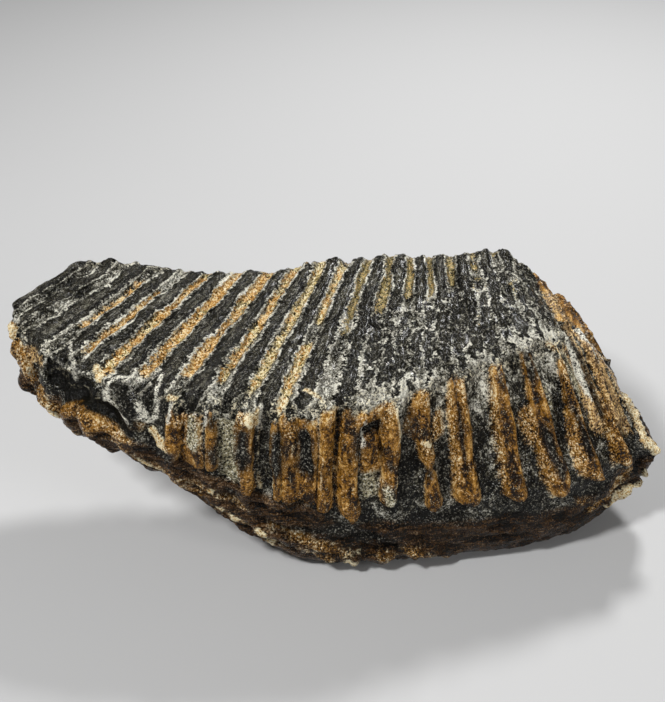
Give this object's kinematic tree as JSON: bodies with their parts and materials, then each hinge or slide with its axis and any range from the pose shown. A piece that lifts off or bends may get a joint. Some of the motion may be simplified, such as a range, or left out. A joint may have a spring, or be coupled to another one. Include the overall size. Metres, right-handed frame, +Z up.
{
  "type": "fossil mammoth tooth",
  "caption": "Worn fossil mammoth molar lying on its broken root base, with a flat chewing surface of fanned enamel plates and glossy ribbed cement sides.",
  "frame": {"origin": "centre of the bounding box in plan, on the surface the tooth rests on", "axes": "+X along the tooth from its thin front end to its thick back end, +Y to the side away from the bulging flank, +Z up"},
  "size_m": [0.2718, 0.1103, 0.0996],
  "materials": {
    "fossil_tooth": "varnished fossil: black dentine, grey-white enamel lines and ochre to brown cement, glossy with fine grain"
  },
  "bodies": {
    "root": {"mammoth_tooth": "fossil_tooth"}
  },
  "joints": []
}
